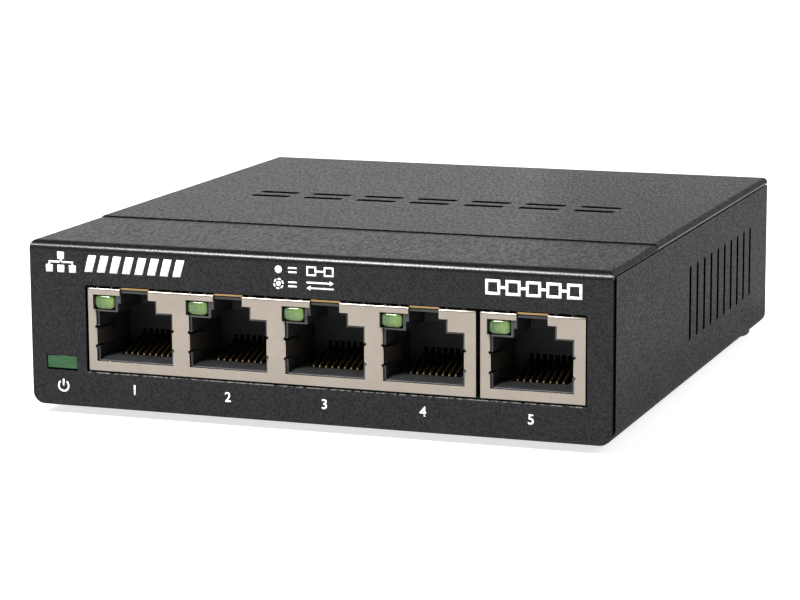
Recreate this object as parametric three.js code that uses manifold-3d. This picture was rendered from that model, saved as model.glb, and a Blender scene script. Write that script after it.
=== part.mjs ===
// A five-port desktop network switch in a folded sheet-steel case.
//
// All sizes are millimetres, +Z is up and -Y is the side with the ports.
// Inside the "unit" group y runs from the front face towards the rear and z starts at the underside of
// the case, so the group is moved back by half the depth and up by the height of the feet.

import * as THREE from 'three';
import { mergeVertices } from 'three/addons/utils/BufferGeometryUtils.js';
import Module from 'manifold-3d';

const wasm = await Module();
wasm.setup();

// ---- driving dimensions ---------------------------------------------------------------------------

// case
const CASE_WIDTH = 94;
const CASE_DEPTH = 101;
const CASE_HEIGHT = 26.1;
const SHEET = 0.8;
const GAP = 0.1; // clearance kept between pieces that touch
const TOP_BEND = 1.4; // outer radius of the fold between the front panel and the top
const SIDE_BEND = 0.8; // outer radius of the rolled side edges of the top pieces
const TRAY_BEND = 1.8; // outer radius of the folds along the underside
const PANEL_CORNER = 1.9; // round lower corners of the front panel
const ROLL_END = CASE_HEIGHT - 1.05; // lower end of the rolled side edges
const SIDE_TOP = ROLL_END - 0.2; // top of the tray's side walls
const STRIP_TOP = CASE_HEIGHT - 0.2; // the strip behind the front panel lies a little below the cover
const TRAY_FRONT = SHEET + GAP; // the tray's floor starts right behind the front panel
const WALL_FRONT = 2; // its side walls start farther back and leave a shadow gap
const PANEL_FLANGE = { length: 6, low: 2.4, high: 22 }; // side flanges that close this gap from inside
const PANEL_LIP = { halfWidth: 44.5, length: 6 }; // lower flange, which rests on the tray's floor
const SEAM_Y = 25.3; // joint between the top strip and the cover
const SEAM_WIDTH = 0.3;
const FOLD_STEPS = 4; // smoothness of the folds in the case
const CORNER_STEPS = 1; // smoothness of small round corners

// rear wall of the tray
const REAR_WALL_SET_IN = 1;
const REAR_WALL_TOP = CASE_HEIGHT - SHEET - 0.5;
const REAR_WALL_HALF_WIDTH = CASE_WIDTH / 2 - SHEET - 0.2;

// side vents
const VENT_COUNT = 10;
const VENT_FIRST_Y = 45.95;
const VENT_PITCH = 4.665;
const VENT_WIDTH = 1.3;
const VENT_CORNER = 0.6;
const VENT_LOW = 7.1;
const VENT_HIGH = 19.25;

// lock slot on the rear wall, on the other side from the power socket
const LOCK_SLOT = { halfWidth: 3.5, low: 11.2, high: 14.2, corner: 0.8 };

// pressed dashes along the middle of the cover, in two rows
const DASH_ROWS = [53.9, 58.1];
const DASH = { count: 7, pitch: 9.55, length: 6.9, breadth: 1.9, depth: 0.4, corner: 0.6 };

// feet, keyholes and the label on the underside
const FOOT_HEIGHT = 1.5;
const FOOT_RADIUS = 4;
const FOOT_EDGE = 0.4;
const FRONT_FEET = { x: 37.5, y: 14 };
const REAR_FEET = { x: 41.2, y: CASE_DEPTH - 4.8 };
const KEYHOLE_X = 27;
const KEYHOLE_Y = 60;
const KEYHOLE_HEAD_RADIUS = 3.6;
const KEYHOLE_SLOT_WIDTH = 3.8;
const KEYHOLE_SLOT_LENGTH = 6.5;
const LABEL_WIDTH = 38;
const LABEL_LENGTH = 34;
const LABEL_THICKNESS = 0.15;
const LABEL_Y = 34;
const LABEL_CORNER = 1.5;
const SEAT = 0.02; // hairline gap under pieces that are stuck or screwed down

// circuit board and its fixings
const BOARD_HALF_WIDTH = 45;
const BOARD_FRONT = 1.4;
const BOARD_REAR = 96.5;
const BOARD_LOW = 4.15;
const BOARD_TOP = 5.75;
const BOARD_HOLE_X = 40.5;
const BOARD_HOLE_YS = [37, 86];
const BOARD_CLEARANCE = 0.15; // the board's holes are this much wider in radius than the screws' bores
const STANDOFF_RADIUS = 2.6;
const SOLDER = 0.15; // height at which chip packages stand off the board
const BOARD_SCREW = { shank: 1.3, bore: 1.45, head: 2.6, headHeight: 1.6, length: 4.2 };

// cover screws on the rear wall
const COVER_SCREW = { x: 40.5, z: 20.6, shank: 1.3, bore: 1.5, head: 2.6, headHeight: 0.85, length: 5 };

// ports
const PORT_XS = [-29.5, -13.83, 2.02, 17.8, 34.66];
const GANG_PORTS = 4;
const GANG_X = [-37.3, 26.0];
const SINGLE_X = [26.7, 42.85];
const SHIELD_LOW = 5.85;
const SHIELD_TOP = 19.05;
const SHIELD_FRONT = 0.35;
const SHIELD_REAR = 18.5;
const SHIELD_SHEET = 0.3;
const SHIELD_BEND = 0.55; // outer radius of the fold between the shield's face and its top
const PORT_HALF_WIDTH = 6.45;
const PORT_LOW = 7.35;
const PORT_HIGH = 15.5;
const STEP_HALF_WIDTH = 3.8;
const STEP_HIGH = 17.35;
const LATCH_HALF_WIDTH = 2.4;
const NOTCH_RADIUS = 0.26; // round relief at the ends of each tab's fold
const NOTCH_OFFSET = NOTCH_RADIUS + 0.03;
const TOP_TAB_XS = [[-6.25, -3.87], [3.58, 6.17]]; // reliefs in the top edge, from each port's middle
const LAMP_WINDOW_OUT = 0.5; // the lamp window reaches this far past the port's left edge
const LAMP_WINDOW_HIGH = 17.83;
const PANEL_CUTOUT = { x0: -37.6, x1: 43.2, z0: 5.55, z1: 19.3, corner: 0.35 };

// sprung earthing tabs at both sides of each port
const TAB_LOW = 10;
const TAB_HIGH = 12.5;
const TAB_REACH = 4.3;
const TAB_LEAN = 1.3;

// plastic port housings
const CAVITY_HALF_WIDTH = 6.1;
const CAVITY_LOW = 7.9;
const CAVITY_HIGH = 15.15;
const CAVITY_REAR = 11.8;
const LIP_DEPTH = 1.6;
const LATCH_REAR = 9;
const LATCH_CEILING = 18.2;
const STEP_INSET = 0.4; // the plastic stands this far inside the shield's step
const HOLDER_WALL_X = -2.9; // right face of the lamp holder's wall
const HOLDER_BLOCK_LOW = 16.5; // above this the holder is thicker and reaches the latch channel
const TROUGH_HALF_WIDTH = 4.4;
const TROUGH_FRONT = 4.1;
const TROUGH_LOW = 6.4;
const COMB_REAR = 13.8;
const COMB_TOP = 10.6;
const COMB_SLOT = 0.66;

// contact springs: eight wires on one carrier, which flex about their front bend
const WIRE_COUNT = 8;
const WIRE_PITCH = 1.02;
const WIRE_THICKNESS = 0.4;
const WIRE_LENGTH = 8.2;
const WIRE_RISE_DEG = 17;
const BEND_Y = 5.0;
const BEND_Z = 7.7;
const BEND_RADIUS = 0.35;

// port lamps and the power lamp
const LAMP = { x0: -6.72, x1: -3.5, z0: 15.55, z1: 17.75, y0: 0.4, y1: 5.4, corner: 0.45 };
const LAMP_CLEARANCE = 0.15;
const POWER_WINDOW = { x0: -44.5, x1: -39.2, z0: 5.6, z1: 7.93 };
const LENS_DEPTH = 6;

// power socket
const SOCKET_X = 31;
const SOCKET_Z = BOARD_TOP + 6.6;
const SOCKET_HALF_WIDTH = 4.6;
const SOCKET_HEIGHT = 11;
const SOCKET_FRONT = CASE_DEPTH - 0.5;
const SOCKET_REAR = SOCKET_FRONT - 14;
const SOCKET_BORE_RADIUS = 3.25;
const SOCKET_BORE_DEPTH = 10;
const SOCKET_PIN_RADIUS = 1;
const LEAF = { width: 2.4, thickness: 0.3, length: 8.4, hinge: 9.2, lean: 8, bed: 1.7, drop: 3.45 };

// ---- materials ------------------------------------------------------------------------------------

function finish(color, roughness, metalness) {
  return () => new THREE.MeshStandardMaterial({ color, roughness, metalness });
}

const blackPaint = finish(0x2a2b2d, 0.5, 0.2);
const zincScrew = finish(0x3a3a3c, 0.35, 0.9);
const nickelShield = finish(0xcfc8bb, 0.3, 0.95);
const blackPlastic = finish(0x17181a, 0.55, 0);
const goldWire = finish(0xc9a558, 0.25, 1);
const greenLamp = finish(0x86c24a, 0.2, 0);
const greenLens = finish(0x2f7d3c, 0.2, 0);
const boardGreen = finish(0x1d4d33, 0.5, 0);
const chipBlack = finish(0x1a1a1c, 0.6, 0);
const aluminium = finish(0xb4b7ba, 0.4, 0.9);
const greyPad = finish(0x8f9499, 0.9, 0);
const rubber = finish(0x161616, 0.85, 0);
const labelWhite = finish(0xe6e6e2, 0.7, 0);
const springSteel = finish(0xb9b6ae, 0.3, 1);

// ---- solids and joins -----------------------------------------------------------------------------

function toSolid(geometry) {
  const bare = geometry.clone();
  bare.deleteAttribute('normal');
  bare.deleteAttribute('uv');
  const merged = mergeVertices(bare, 1e-5);
  const vertProperties = new Float32Array(merged.attributes.position.array);
  const triVerts = new Uint32Array(merged.index.array);
  return new wasm.Manifold(new wasm.Mesh({ numProp: 3, vertProperties, triVerts }));
}

function toGeometry(solid) {
  const mesh = solid.getMesh();
  const geometry = new THREE.BufferGeometry();
  geometry.setAttribute('position', new THREE.BufferAttribute(mesh.vertProperties, 3));
  geometry.setIndex(new THREE.BufferAttribute(mesh.triVerts, 1));
  geometry.computeVertexNormals();
  return geometry;
}

function join(solids) {
  return solids.reduce((whole, piece) => whole.add(piece));
}

function cut(solid, cutters) {
  return solid.subtract(join(cutters));
}

function box(x0, x1, y0, y1, z0, z1) {
  const geometry = new THREE.BoxGeometry(x1 - x0, y1 - y0, z1 - z0);
  geometry.translate((x0 + x1) / 2, (y0 + y1) / 2, (z0 + z1) / 2);
  return toSolid(geometry);
}

// A flat outline pushed along one axis. The outline's own two axes become the world axes named here.
function extrude(shape, from, to, along, steps = CORNER_STEPS) {
  const settings = { depth: to - from, bevelEnabled: false, curveSegments: steps };
  const geometry = new THREE.ExtrudeGeometry(shape, settings);
  const turn = new THREE.Matrix4();
  const X = new THREE.Vector3(1, 0, 0);
  const Y = new THREE.Vector3(0, 1, 0);
  const Z = new THREE.Vector3(0, 0, 1);
  if (along === 'x') {
    turn.makeBasis(Y, Z, X);
    geometry.applyMatrix4(turn);
    geometry.translate(from, 0, 0);
  }
  if (along === 'y') {
    turn.makeBasis(X, Z, Y.clone().negate());
    geometry.applyMatrix4(turn);
    geometry.translate(0, to, 0);
  }
  if (along === 'z') {
    geometry.translate(0, 0, from);
  }
  return toSolid(geometry);
}

function polygon(points) {
  return new THREE.Shape(points.map(([u, v]) => new THREE.Vector2(u, v)));
}

function roundedOutline(u0, u1, v0, v1, radius) {
  const shape = new THREE.Shape();
  shape.moveTo(u0 + radius, v0);
  shape.lineTo(u1 - radius, v0);
  shape.absarc(u1 - radius, v0 + radius, radius, -Math.PI / 2, 0, false);
  shape.lineTo(u1, v1 - radius);
  shape.absarc(u1 - radius, v1 - radius, radius, 0, Math.PI / 2, false);
  shape.lineTo(u0 + radius, v1);
  shape.absarc(u0 + radius, v1 - radius, radius, Math.PI / 2, Math.PI, false);
  shape.lineTo(u0, v0 + radius);
  shape.absarc(u0 + radius, v0 + radius, radius, Math.PI, 1.5 * Math.PI, false);
  return shape;
}

// A turned piece: radius and height pairs from the axis out and back to the axis.
function turned(profile, sides) {
  const points = profile.map(([radius, height]) => new THREE.Vector2(radius, height));
  const geometry = new THREE.LatheGeometry(points, sides);
  geometry.rotateX(Math.PI / 2);
  return toSolid(geometry);
}

function rod(radius, z0, z1, sides) {
  return turned([[0, z0], [radius, z0], [radius, z1], [0, z1]], sides);
}

// Turns a piece that was made standing on +Z so that its +Z points to the rear.
function layTowardsRear(solid) {
  return solid.rotate([-90, 0, 0]);
}

// ---- the unit -------------------------------------------------------------------------------------

const group = new THREE.Group();
const unit = new THREE.Group();
unit.position.set(0, -CASE_DEPTH / 2, FOOT_HEIGHT);
group.add(unit);

function addPart(name, solid, material) {
  const mesh = new THREE.Mesh(toGeometry(solid), material());
  mesh.name = name;
  unit.add(mesh);
}

// ---- case -----------------------------------------------------------------------------------------

// Tray section: floor and two side walls with round folds, as one strip of constant thickness.
function traySection() {
  const half = CASE_WIDTH / 2;
  const inner = TRAY_BEND - SHEET;
  const shape = new THREE.Shape();
  shape.moveTo(-half, SIDE_TOP);
  shape.lineTo(-half, TRAY_BEND);
  shape.absarc(-half + TRAY_BEND, TRAY_BEND, TRAY_BEND, Math.PI, 1.5 * Math.PI, false);
  shape.lineTo(half - TRAY_BEND, 0);
  shape.absarc(half - TRAY_BEND, TRAY_BEND, TRAY_BEND, -Math.PI / 2, 0, false);
  shape.lineTo(half, SIDE_TOP);
  shape.lineTo(half - SHEET, SIDE_TOP);
  shape.lineTo(half - SHEET, TRAY_BEND);
  shape.absarc(half - TRAY_BEND, TRAY_BEND, inner, 0, -Math.PI / 2, true);
  shape.lineTo(-half + TRAY_BEND, SHEET);
  shape.absarc(-half + TRAY_BEND, TRAY_BEND, inner, -Math.PI / 2, -Math.PI, true);
  shape.lineTo(-half + SHEET, SIDE_TOP);
  return shape;
}

function keyhole(x) {
  const head = rod(KEYHOLE_HEAD_RADIUS, -1, SHEET + 1, 20).translate([x, KEYHOLE_Y, 0]);
  const half = KEYHOLE_SLOT_WIDTH / 2;
  const outline = roundedOutline(x - half, x + half, KEYHOLE_Y, KEYHOLE_Y + KEYHOLE_SLOT_LENGTH, half);
  return head.add(extrude(outline, -1, SHEET + 1, 'z'));
}

function makeTray() {
  const walls = extrude(traySection(), TRAY_FRONT, CASE_DEPTH, 'y', FOLD_STEPS);
  const rearFace = CASE_DEPTH - REAR_WALL_SET_IN;
  const rearWall = box(-REAR_WALL_HALF_WIDTH, REAR_WALL_HALF_WIDTH, rearFace - SHEET, rearFace,
    SHEET / 2, REAR_WALL_TOP);
  const pieces = [walls, rearWall];
  const cutters = [keyhole(-KEYHOLE_X), keyhole(KEYHOLE_X)];
  const wallInside = CASE_WIDTH / 2 - SHEET - GAP / 2;
  const wallLow = TRAY_BEND + GAP;
  cutters.push(box(-CASE_WIDTH, -wallInside, 0, WALL_FRONT, wallLow, CASE_HEIGHT));
  cutters.push(box(wallInside, CASE_WIDTH, 0, WALL_FRONT, wallLow, CASE_HEIGHT));
  for (const x of [-BOARD_HOLE_X, BOARD_HOLE_X]) {
    for (const y of BOARD_HOLE_YS) {
      pieces.push(rod(STANDOFF_RADIUS, SHEET / 2, BOARD_LOW - GAP, 16).translate([x, y, 0]));
      cutters.push(rod(BOARD_SCREW.bore, SHEET, BOARD_LOW + 1, 12).translate([x, y, 0]));
    }
    const bore = layTowardsRear(rod(COVER_SCREW.bore, -3, 3, 12));
    cutters.push(bore.translate([Math.sign(x) * COVER_SCREW.x, rearFace, COVER_SCREW.z]));
  }
  for (let i = 0; i < VENT_COUNT; i += 1) {
    const y = VENT_FIRST_Y + i * VENT_PITCH;
    const half = VENT_WIDTH / 2;
    const slot = roundedOutline(y - half, y + half, VENT_LOW, VENT_HIGH, VENT_CORNER);
    cutters.push(extrude(slot, -CASE_WIDTH, CASE_WIDTH, 'x'));
  }
  const socketTop = BOARD_TOP + SOCKET_HEIGHT;
  const mouth = roundedOutline(SOCKET_X - SOCKET_HALF_WIDTH - 0.3, SOCKET_X + SOCKET_HALF_WIDTH + 0.3,
    BOARD_TOP - 0.2, socketTop + 0.4, 0.6);
  cutters.push(extrude(mouth, rearFace - 2, rearFace + 2, 'y'));
  const { halfWidth, low, high, corner } = LOCK_SLOT;
  const lock = roundedOutline(-SOCKET_X - halfWidth, -SOCKET_X + halfWidth, low, high, corner);
  cutters.push(extrude(lock, rearFace - 2, rearFace + 2, 'y'));
  return cut(join(pieces), cutters);
}

// Section across the top: a flat sheet whose two edges roll down until they nearly meet the tray's walls.
function topSection(top) {
  const half = CASE_WIDTH / 2;
  const centreX = half - SIDE_BEND;
  const centreZ = top - SIDE_BEND;
  const underside = top - SHEET;
  const tuckX = half - SHEET - 0.15;
  const shape = new THREE.Shape();
  shape.moveTo(-tuckX, underside);
  shape.lineTo(tuckX, underside);
  shape.lineTo(tuckX + 0.2, ROLL_END);
  shape.lineTo(half, ROLL_END);
  shape.lineTo(half, centreZ);
  shape.absarc(centreX, centreZ, SIDE_BEND, 0, Math.PI / 2, false);
  shape.lineTo(-centreX, top);
  shape.absarc(-centreX, centreZ, SIDE_BEND, Math.PI / 2, Math.PI, false);
  shape.lineTo(-half, ROLL_END);
  shape.lineTo(-tuckX - 0.2, ROLL_END);
  return shape;
}

// Section from front to back: the front panel folded back over the top.
function frontSection() {
  const centreZ = STRIP_TOP - TOP_BEND;
  const inner = TOP_BEND - SHEET;
  const shape = new THREE.Shape();
  shape.moveTo(0, 0);
  shape.lineTo(SHEET, 0);
  shape.lineTo(SHEET, centreZ);
  shape.absarc(TOP_BEND, centreZ, inner, Math.PI, Math.PI / 2, true);
  shape.lineTo(TOP_BEND + SHEET, STRIP_TOP - SHEET);
  shape.lineTo(TOP_BEND + SHEET, STRIP_TOP);
  shape.lineTo(TOP_BEND, STRIP_TOP);
  shape.absarc(TOP_BEND, centreZ, TOP_BEND, Math.PI / 2, Math.PI, false);
  return shape;
}

// Outline of the panel from the front: small round corners at the top and larger ones below.
function panelOutline() {
  const half = CASE_WIDTH / 2;
  const shape = new THREE.Shape();
  shape.moveTo(-half + PANEL_CORNER, 0);
  shape.lineTo(half - PANEL_CORNER, 0);
  shape.absarc(half - PANEL_CORNER, PANEL_CORNER, PANEL_CORNER, -Math.PI / 2, 0, false);
  shape.lineTo(half, STRIP_TOP - SIDE_BEND);
  shape.absarc(half - SIDE_BEND, STRIP_TOP - SIDE_BEND, SIDE_BEND, 0, Math.PI / 2, false);
  shape.lineTo(-half + SIDE_BEND, STRIP_TOP);
  shape.absarc(-half + SIDE_BEND, STRIP_TOP - SIDE_BEND, SIDE_BEND, Math.PI / 2, Math.PI, false);
  shape.lineTo(-half, PANEL_CORNER);
  shape.absarc(-half + PANEL_CORNER, PANEL_CORNER, PANEL_CORNER, Math.PI, 1.5 * Math.PI, false);
  return shape;
}

function makeFrontPanel() {
  const sheet = extrude(frontSection(), -CASE_WIDTH, CASE_WIDTH, 'x', FOLD_STEPS);
  const panel = sheet.intersect(extrude(panelOutline(), -1, CASE_DEPTH / 2, 'y', FOLD_STEPS));
  const strip = extrude(topSection(STRIP_TOP), TOP_BEND, SEAM_Y - SEAM_WIDTH / 2, 'y', FOLD_STEPS);
  const floorTop = SHEET + GAP;
  const pieces = [panel, strip, box(-PANEL_LIP.halfWidth, PANEL_LIP.halfWidth, SHEET / 2, PANEL_LIP.length,
    floorTop, floorTop + SHEET)];
  const flangeX = CASE_WIDTH / 2 - SHEET - GAP;
  const { length, low, high } = PANEL_FLANGE;
  pieces.push(box(-flangeX, -flangeX + SHEET, SHEET / 2, length, low, high));
  pieces.push(box(flangeX - SHEET, flangeX, SHEET / 2, length, low, high));
  const { x0, x1, z0, z1, corner } = PANEL_CUTOUT;
  const power = POWER_WINDOW;
  return cut(join(pieces), [
    extrude(roundedOutline(x0, x1, z0, z1, corner), -1, SHEET + GAP, 'y'),
    box(power.x0, power.x1, -1, SHEET + GAP, power.z0, power.z1),
  ]);
}

// Plain pressed dashes in two rows across the cover.
function pressedDashes() {
  const { count, pitch, length, breadth, depth, corner } = DASH;
  const dashes = [];
  for (const y of DASH_ROWS) {
    for (let i = 0; i < count; i += 1) {
      const x0 = (i - (count - 1) / 2) * pitch - length / 2;
      const outline = roundedOutline(x0, x0 + length, y - breadth / 2, y + breadth / 2, corner);
      dashes.push(extrude(outline, CASE_HEIGHT - depth, CASE_HEIGHT + 1, 'z'));
    }
  }
  return dashes;
}

function makeCover() {
  const front = SEAM_Y + SEAM_WIDTH / 2;
  const rearWallInner = CASE_DEPTH - REAR_WALL_SET_IN - SHEET;
  const underside = CASE_HEIGHT - SHEET / 2;
  const plate = extrude(topSection(CASE_HEIGHT), front, CASE_DEPTH, 'y', FOLD_STEPS);
  const pieces = [plate];
  const flangeX = CASE_WIDTH / 2 - SHEET - 0.4;
  for (const side of [-1, 1]) {
    const x0 = Math.min(side * flangeX, side * (flangeX - SHEET));
    pieces.push(box(x0, x0 + SHEET, front + 6, CASE_DEPTH - 8, VENT_HIGH + 1, underside));
  }
  const rearFlange = { x: flangeX - 3, y: rearWallInner - 0.2, low: COVER_SCREW.z - 3.6 };
  pieces.push(box(-rearFlange.x, rearFlange.x, rearFlange.y - SHEET, rearFlange.y, rearFlange.low,
    underside));
  const cutters = pressedDashes();
  for (const side of [-1, 1]) {
    const bore = layTowardsRear(rod(COVER_SCREW.bore, -3, 3, 12));
    cutters.push(bore.translate([side * COVER_SCREW.x, rearWallInner, COVER_SCREW.z]));
  }
  return cut(join(pieces), cutters);
}

// Pan-head screw standing on +Z with a cross recess; the underside of its head is at z = 0.
function panScrew(size) {
  const { shank, head, headHeight, length } = size;
  const body = turned([[0, -length], [shank * 0.7, -length], [shank, -length + 0.7], [shank, 0],
    [head, 0], [head, headHeight * 0.55], [head * 0.7, headHeight], [0, headHeight]], 16);
  const arm = head * 0.55;
  const bottom = headHeight * 0.35;
  const slot = 0.3;
  const across = box(-arm, arm, -slot, slot, bottom, headHeight + 1);
  const along = box(-slot, slot, -arm, arm, bottom, headHeight + 1);
  return cut(body, [across, along]);
}

function makeFoot() {
  const top = -SEAT;
  const low = -FOOT_HEIGHT;
  return turned([[0, low], [FOOT_RADIUS - FOOT_EDGE, low], [FOOT_RADIUS, low + FOOT_EDGE],
    [FOOT_RADIUS, top], [0, top]], 24);
}

addPart('chassis_tray', makeTray(), blackPaint);
addPart('front_panel', makeFrontPanel(), blackPaint);
addPart('top_cover', makeCover(), blackPaint);

for (const [side, name] of [[-1, 'left'], [1, 'right']]) {
  const rearFace = CASE_DEPTH - REAR_WALL_SET_IN + 0.03;
  const coverScrew = layTowardsRear(panScrew(COVER_SCREW));
  addPart(`cover_screw_${name}`, coverScrew.translate([side * COVER_SCREW.x, rearFace, COVER_SCREW.z]),
    zincScrew);
  addPart(`foot_front_${name}`, makeFoot().translate([side * FRONT_FEET.x, FRONT_FEET.y, 0]), rubber);
  addPart(`foot_rear_${name}`, makeFoot().translate([side * REAR_FEET.x, REAR_FEET.y, 0]), rubber);
}

const label = roundedOutline(-LABEL_WIDTH / 2, LABEL_WIDTH / 2, LABEL_Y - LABEL_LENGTH / 2,
  LABEL_Y + LABEL_LENGTH / 2, LABEL_CORNER);
addPart('rating_label', extrude(label, -LABEL_THICKNESS - SEAT, -SEAT, 'z'), labelWhite);

// ---- circuit board --------------------------------------------------------------------------------

function makeBoard() {
  const plate = box(-BOARD_HALF_WIDTH, BOARD_HALF_WIDTH, BOARD_FRONT, BOARD_REAR, BOARD_LOW, BOARD_TOP);
  const cutters = [];
  for (const x of [-BOARD_HOLE_X, BOARD_HOLE_X]) {
    for (const y of BOARD_HOLE_YS) {
      const hole = rod(BOARD_SCREW.bore + BOARD_CLEARANCE, BOARD_LOW - 1, BOARD_TOP + 1, 12);
      cutters.push(hole.translate([x, y, 0]));
    }
  }
  return cut(plate, cutters);
}

addPart('circuit_board', makeBoard(), boardGreen);

let screwNumber = 1;
for (const x of [-BOARD_HOLE_X, BOARD_HOLE_X]) {
  for (const y of BOARD_HOLE_YS) {
    const place = [x, y, BOARD_TOP + 0.05];
    addPart(`board_screw_${screwNumber}`, panScrew(BOARD_SCREW).translate(place), zincScrew);
    screwNumber += 1;
  }
}

// A moulded chip package: straight sides with a bevelled top edge, standing on the board.
function chipPackage(x, y, width, length, height) {
  const bevel = Math.min(0.4, height / 4);
  const low = BOARD_TOP + SOLDER;
  const section = polygon([[x - width / 2, low], [x + width / 2, low],
    [x + width / 2, low + height - bevel], [x + width / 2 - bevel, low + height],
    [x - width / 2 + bevel, low + height], [x - width / 2, low + height - bevel]]);
  return extrude(section, y - length / 2, y + length / 2, 'y');
}

// Upright electrolytic capacitor: a can with a rolled groove above its base.
function canCapacitor(x, y, radius, height) {
  const low = BOARD_TOP + 0.1;
  const profile = [[0, low], [radius, low], [radius, low + 1], [radius - 0.35, low + 1.3],
    [radius, low + 1.7], [radius, low + height - 0.3], [radius - 0.3, low + height], [0, low + height]];
  return turned(profile, 20).translate([x, y, 0]);
}

// Shielded power inductor: a drum with a waist where the winding shows.
function drumInductor(x, y, radius, height) {
  const low = BOARD_TOP + 0.1;
  const profile = [[0, low], [radius, low], [radius, low + 0.9], [radius * 0.8, low + 1.2],
    [radius * 0.8, low + height - 1.2], [radius, low + height - 0.9], [radius, low + height],
    [0, low + height]];
  return turned(profile, 18).translate([x, y, 0]);
}

// Finned heat sink: a plate with upright fins, resting on the thermal pad.
function finnedSink(x, y, size, low, height) {
  const half = size / 2;
  const pieces = [box(x - half, x + half, y - half, y + half, low, low + 1.6)];
  const fins = 7;
  const fin = 0.8;
  for (let i = 0; i < fins; i += 1) {
    const finX = x - half + (i * (size - fin)) / (fins - 1);
    pieces.push(box(finX, finX + fin, y - half, y + half, low + 0.8, low + height));
  }
  return join(pieces);
}

const CHIP = { x: 0, y: 52, size: 14, height: 1.2 };
const chipTop = BOARD_TOP + SOLDER + CHIP.height;
const PAD = { half: 6, thickness: 0.5 };
const SINK = { size: 19, height: 7 };
const padLow = chipTop + GAP / 2;
addPart('switch_chip', chipPackage(CHIP.x, CHIP.y, CHIP.size, CHIP.size, CHIP.height), chipBlack);
addPart('thermal_pad', box(CHIP.x - PAD.half, CHIP.x + PAD.half, CHIP.y - PAD.half, CHIP.y + PAD.half,
  padLow, padLow + PAD.thickness), greyPad);
addPart('heat_sink', finnedSink(CHIP.x, CHIP.y, SINK.size, padLow + PAD.thickness + GAP / 2, SINK.height),
  aluminium);

const TRANSFORMER = { y: 27, width: 13.6, length: 9.4, height: 5.2 };
PORT_XS.forEach((x, index) => {
  const { y, width, length, height } = TRANSFORMER;
  addPart(`port_transformer_${index + 1}`, chipPackage(x, y, width, length, height), chipBlack);
});

addPart('clock_crystal', extrude(roundedOutline(-27, -15.6, 48.8, 53.2, 2.1),
  BOARD_TOP + 0.1, BOARD_TOP + 3.5, 'z'), aluminium);
addPart('memory_chip', chipPackage(-18, 66, 4, 5, 1.6), chipBlack);
addPart('regulator_1', chipPackage(18, 66, 5, 4.4, 1.5), chipBlack);
addPart('regulator_2', chipPackage(18, 80, 5, 4.4, 1.5), chipBlack);
addPart('inductor_1', drumInductor(28, 66, 3.6, 4), chipBlack);
addPart('inductor_2', drumInductor(8, 82, 3.6, 4), chipBlack);
addPart('capacitor_1', canCapacitor(28, 78, 3.15, 7.2), aluminium);
addPart('capacitor_2', canCapacitor(19, 90, 3.15, 7.2), aluminium);
addPart('capacitor_3', canCapacitor(-6, 90, 3.15, 7.2), aluminium);

// ---- ports ----------------------------------------------------------------------------------------

// Outline of the hole in the shield's face for one port: the plug's opening, the step and the notch for the
// plug's latch, which runs out through the top edge, and the lamp window at the upper left.
function portOutline(x) {
  const left = x - PORT_HALF_WIDTH;
  const over = SHIELD_TOP + 1;
  return polygon([[left, PORT_LOW], [x + PORT_HALF_WIDTH, PORT_LOW], [x + PORT_HALF_WIDTH, PORT_HIGH],
    [x + STEP_HALF_WIDTH, PORT_HIGH], [x + STEP_HALF_WIDTH, STEP_HIGH], [x + LATCH_HALF_WIDTH, STEP_HIGH],
    [x + LATCH_HALF_WIDTH, over], [x - LATCH_HALF_WIDTH, over], [x - LATCH_HALF_WIDTH, LAMP_WINDOW_HIGH],
    [left - LAMP_WINDOW_OUT, LAMP_WINDOW_HIGH], [left - LAMP_WINDOW_OUT, PORT_HIGH], [left, PORT_HIGH]]);
}

// Round reliefs in the shield's face: at both ends of each side tab's fold and along the top edge.
function reliefNotches(x) {
  const places = [];
  for (const edge of [x - PORT_HALF_WIDTH, x + PORT_HALF_WIDTH]) {
    places.push([edge, TAB_LOW - NOTCH_OFFSET], [edge, TAB_HIGH + NOTCH_OFFSET]);
  }
  for (const fromMiddle of TOP_TAB_XS.flat()) {
    places.push([x + fromMiddle, SHIELD_TOP]);
  }
  return places.map(([u, v]) => {
    const drill = layTowardsRear(rod(NOTCH_RADIUS, -1, SHIELD_SHEET + GAP, 8));
    return drill.translate([u, SHIELD_FRONT, v]);
  });
}

// One sprung tab: it leaves the edge of the hole and leans into the port as it goes back.
function springTab(x, side) {
  const edge = x + side * PORT_HALF_WIDTH;
  const root = SHIELD_FRONT;
  const outline = [[edge + side * 0.2, root], [edge - side * 0.1, root],
    [edge - side * (TAB_LEAN + 0.1), root + TAB_REACH], [edge - side * (TAB_LEAN - 0.2), root + TAB_REACH]];
  const ordered = side > 0 ? outline : outline.slice().reverse();
  return extrude(polygon(ordered), TAB_LOW, TAB_HIGH, 'z');
}

// Outer block of a shield, with a round fold along its upper front edge.
function shieldBlock(x0, x1) {
  const section = new THREE.Shape();
  section.moveTo(SHIELD_FRONT, SHIELD_LOW);
  section.lineTo(SHIELD_REAR, SHIELD_LOW);
  section.lineTo(SHIELD_REAR, SHIELD_TOP);
  section.lineTo(SHIELD_FRONT + SHIELD_BEND, SHIELD_TOP);
  section.absarc(SHIELD_FRONT + SHIELD_BEND, SHIELD_TOP - SHIELD_BEND, SHIELD_BEND, Math.PI / 2, Math.PI,
    false);
  return extrude(section, x0, x1, 'x', FOLD_STEPS);
}

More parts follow.
